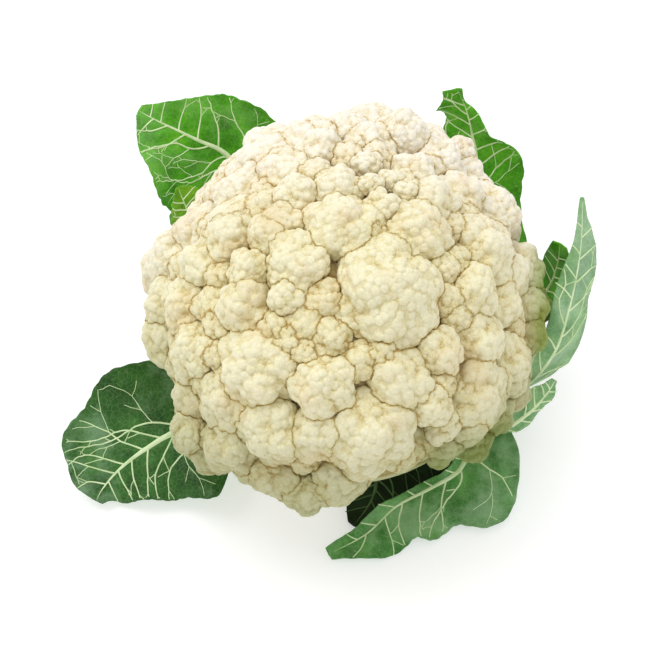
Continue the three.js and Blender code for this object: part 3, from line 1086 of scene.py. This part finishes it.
def bladePlace(leaf, u, v):
    # a point of the blade's middle surface, v from -1 at the left margin to 1 at the right
    place, side, inner, left, right = leafFrame(leaf, u)
    isLeft = v < 0
    reach = (left if isLeft else right) * marginAt(leaf, u, isLeft)
    share = abs(v)
    swing = math.sin(2 * math.pi * leaf["waves"] * u + (1.3 if isLeft else 0))
    free = min(1, max(0, (u - 0.2) * 4)) * min(1, (1 - u) * 6)
    wave = leaf["waveHeight"] * share * share * free * swing
    curl = leaf["cup"][0 if isLeft else 1] * reach * share * share
    return place + side * (v * reach) + inner * (curl + wave)


def bladeNormal(leaf, u, v):
    here = bladePlace(leaf, u, v)
    ahead = bladePlace(leaf, u + 0.01, v) - here
    return (bladePlace(leaf, u, v + 0.02) - here).cross(ahead).normalized()


def growVein(leaf, length, start, level, rng, taken):
    # one vein as (u, v, radius), wandering to the margin or to the next vein, and its forks' starts
    along, across, angle, side, radius = start
    run, turn, swing = 0, rng.choice((-1, 1)), rng.uniform(0, 6)
    nextFork = rng.uniform(*veinLook["fork" if level else "firstFork"])
    path, forks, own = [], [], []
    while run < veinLook["runs"][level]:
        u = along / length
        v = across / max(1, alongRows(leaf["rows"], min(u, 1))[3 if side < 0 else 4])
        slim = radius * (1 - 0.5 * run / veinLook["runs"][level] - 0.35 * max(0, v))
        path.append((u, side * v, max(slim, veinLook["finest"])))
        near = level and run > 2 and any(math.dist((along, across), spot) < 1.4 for spot in taken)
        if v > 0.92 or v < 0 or u > 0.97 or near:
            break
        if level < 2 and run > nextFork:
            lean = angle + turn * rng.uniform(0.5, 0.8)
            forks.append((along, across, lean, side, slim * veinLook["thin"]))
            angle -= turn * 0.2
            turn = -turn
            nextFork = run + rng.uniform(*veinLook["fork"])
        angle += rng.uniform(-0.06, 0.06) + 0.05 * math.sin(run / 7 + swing) - (0.008 if level == 0 else 0)
        own.append((along, across))
        along += math.cos(angle) * veinLook["step"]
        across += math.sin(angle) * veinLook["step"]
        run += veinLook["step"]
    taken.extend(own)
    return path, forks


def veinPaths(leaf):
    # the leaf's veins by level: side veins, then their forks, then the forks' own
    look = leaf["veins"]
    rng = random.Random(look["seed"])
    spots = [alongRows(leaf["rows"], k / 50)[:3] for k in range(51)]
    length = sum(math.dist(*pair) for pair in zip(spots, spots[1:]))
    levels = [[], [], []]
    for side, angle in zip((-1, 1), look["angles"]):
        starts, taken = [], []
        for k in range(look["pairs"]):
            share = (k + (0.5 if side > 0 else 0.1) + rng.uniform(-0.12, 0.12)) / look["pairs"]
            start = look["first"] + (look["last"] - look["first"]) * max(0, share) ** 0.9
            lean = math.radians(angle + rng.uniform(-4, 4))
            starts.append((start * length, 0.3, lean, side, veinLook["side"] * (1.15 - 0.4 * share)))
        for level in range(3):
            forks = []
            for start in starts:
                path, more = growVein(leaf, length, start, level, rng, taken)
                forks += more
                if len(path) > 1:
                    levels[level].append(path)
            starts = forks
    return levels


def gapsTo(lines, places):
    # how far each place lies from the nearest of the lines
    tree = KDTree(sum(len(line) for line in lines) * 3)
    for line in lines:
        for here, after in zip(line, line[1:] + line[-1:]):
            for part in range(3):
                tree.insert(here.lerp(after, part / 3), 0)
    tree.balance()
    return np.array([tree.find(place)[2] if lines else 99.0 for place in places])


def swellOf(leaf, place, u, bay, gap):
    # the blade puffs up between the side veins, and a little between the finer ones
    puff = leaf["puff"] * (1 - math.exp(-((bay / 6) ** 2))) + 0.25 * (1 - math.exp(-((gap / 2) ** 2)))
    return puff * (1 + noise.noise(place / 6) * 0.5) * min(1, max(0, (u - 0.15) * 5))


def makeLeaf(name, leaf, finishes, veinFlesh):
    columns, rows = leaf["grid"]
    foot, taper = leaf["rib"]
    face = leaf["shows"]
    rib = []
    for step in range(ribLook["steps"]):
        u = step / (ribLook["steps"] - 1) * ribLook["end"]
        place, _, inner, _, _ = leafFrame(leaf, u)
        radius = foot * (1 - u) ** taper + ribLook["tip"]
        rib.append((place - inner * face * (radius - 0.4) * ribLook["sunk"], radius))
    levels = veinPaths(leaf)
    spine = [place for place, _ in rib]
    main = [[bladePlace(leaf, u, v) for u, v, _ in path] for path in levels[0]] + [spine]
    tubes = [rib]
    for level, paths in enumerate(levels):
        for path in paths:
            places = [bladePlace(leaf, u, v) for u, v, _ in path]
            bays = gapsTo(main, places) if level else [0] * len(path)
            tube = []
            for place, bay, (u, v, radius) in zip(places, bays, path):
                out = bladeThickness / 2 + veinLook["raised"] - radius / 4
                lift = swellOf(leaf, place, u, bay, 0) + face * out
                tube.append((place + bladeNormal(leaf, u, v) * lift, radius))
            tubes.append(tube)
    bpy.ops.mesh.primitive_grid_add(x_subdivisions=columns, y_subdivisions=rows, size=2)
    blade = bpy.context.object
    flat = getPlaces(blade) * mm
    us, vs = (flat[:, 1] + 1) / 2, flat[:, 0]
    places = [bladePlace(leaf, u, v) for u, v in zip(us, vs)]
    bay = gapsTo(main, places)
    fine = [[bladePlace(leaf, u, v) for u, v, _ in path] for path in levels[1] + levels[2]]
    gaps = np.minimum(bay, gapsTo(fine, places))
    shaped = []
    for place, u, v, b, g in zip(places, us, vs, bay, gaps):
        shaped.append(place + bladeNormal(leaf, u, v) * swellOf(leaf, place, u, b, g))
    setPlaces(blade, shaped)
    setPointValues(blade, "veinGap", gaps / 10)  # in centimetres, like bay
    setPointValues(blade, "bay", bay / 10)
    inner, back = leaf["finish"]
    blade.data.materials.append(finishes[inner])
    blade.data.materials.append(finishes[back])  # before the thickening, which needs both
    thicken = blade.modifiers.new("blade", "SOLIDIFY")
    thicken.thickness = bladeThickness * mm
    thicken.offset = 0
    thicken.material_offset = 1
    bpy.ops.object.modifier_apply(modifier=thicken.name)
    bpy.ops.object.shade_smooth()
    blade.name = name + ".blade"
    dress(blade, [name], leaf["slot"], [])
    ribs = makeTubes(name + ".veins", tubes, 1)
    dress(ribs, [name], "rib", [veinFlesh])
    print(name, len(blade.data.polygons), "blade faces,", len(ribs.data.polygons), "vein faces")


def makeLeaves():
    # dark, middle and light green, then the tint of the small veins and of the waxy bloom with its painted
    # sheen
    green = {
        # the leaves' own brighter green, and painted light shining through them
        "brightAndBacklit": ("#2c6e06", "#4aa010", "#6cba28", "#c8e89a", "#8ec474"),
        "middling": ("#2a6218", "#478538", "#6aa556", "#c2deac", "#9cc092"),
        "young": ("#3f7e06", "#66a80f", "#92c828", "#dcee9c", "#a4c860"),
        "dark": ("#1e4415", "#306122", "#4a7d38", "#accf8c", "#86a884"),
        # painted shadow: near black, for the leaf lying in the shade under the curd
        "deep": ("#081406", "#0e2009", "#152e10", "#35552c", "#284028"),
        "brightBack": ("#5e9440", "#78ac54", "#94c46e", "#d6eab4", "#a8c898"),
        "paleBack": ("#50804a", "#75a368", "#a0c890", "#e8f4dc", "#a8c6a6"),
    }
    finishes = {
        name: makeBladeMaterial(name + "Blade", colours, 0.25 if name == "brightAndBacklit" else 0.5)
        for name, colours in green.items()
    }
    paleVein = makeVeinMaterial("paleVeinFlesh", "#dcedbe", "#bfd89e")
    shadedVein = makeVeinMaterial("shadedVeinFlesh", "#4e6c3c", "#38532c")
    for name, leaf in leaves.items():
        makeLeaf(name, leaf, finishes, shadedVein if "deep" in leaf["finish"] else paleVein)


makeLeaves()


def makeStage():
    bpy.ops.mesh.primitive_plane_add(size=12)
    floor = bpy.context.object
    floor.name = "floor"
    paper = newMaterial("glowingFloor")
    where = addNode(paper, "ShaderNodeTexCoord").outputs["Object"]
    cloud = addNode(paper, "ShaderNodeTexNoise", {"Scale": 2.0}, {"Vector": where}).outputs["Fac"]
    colour = colourRamp(paper, cloud, [(0.3, "#cfcfcf"), (0.7, "#d3d3d3")])
    # the floor glows a little, though it is no lamp: painted light that lifts the shadows on it to white
    glow = {"Roughness": 0.9, "Emission Color": (1, 1, 1, 1), "Emission Strength": 0.46}
    finishMaterial(paper, glow, {"Base Color": colour})
    floor.data.materials.append(paper)
    world = bpy.data.worlds.new("studio")
    bpy.context.scene.world = world
    world.use_nodes = True
    background = world.node_tree.nodes["Background"]
    background.inputs["Color"].default_value = (1, 1, 1, 1)
    background.inputs["Strength"].default_value = 0.8
    lights = {
        "key": ((-0.6, 0.35, 1.25), 1.1, 6.9),
        "top": ((0.1, 0.15, 1.5), 1.5, 5),
    }
    for name, (place, size, power) in lights.items():
        bpy.ops.object.light_add(type="AREA", location=place)
        light = bpy.context.object
        light.name = name
        light.data.shape = "DISK"
        light.data.size = size
        light.data.energy = power
        aim = Vector((0, 0, 0.07)) - Vector(place)
        light.rotation_euler = aim.to_track_quat("-Z", "Y").to_euler()


def makeCamera():
    lean = math.radians(cameraLook["elevation"])
    back = Vector((0, -math.cos(lean), math.sin(lean)))
    place = (Vector(cameraLook["target"]) + back * cameraLook["distance"]) * mm
    bpy.ops.object.camera_add(location=place, rotation=(math.pi / 2 - lean, 0, 0))
    camera = bpy.context.object
    camera.data.lens = cameraLook["lens"]
    camera.data.sensor_width = 36
    camera.data.clip_start = 0.01
    bpy.context.scene.camera = camera


makeStage()
makeCamera()
bpy.context.scene.view_settings.view_transform = "Standard"
bpy.context.view_layer.update()
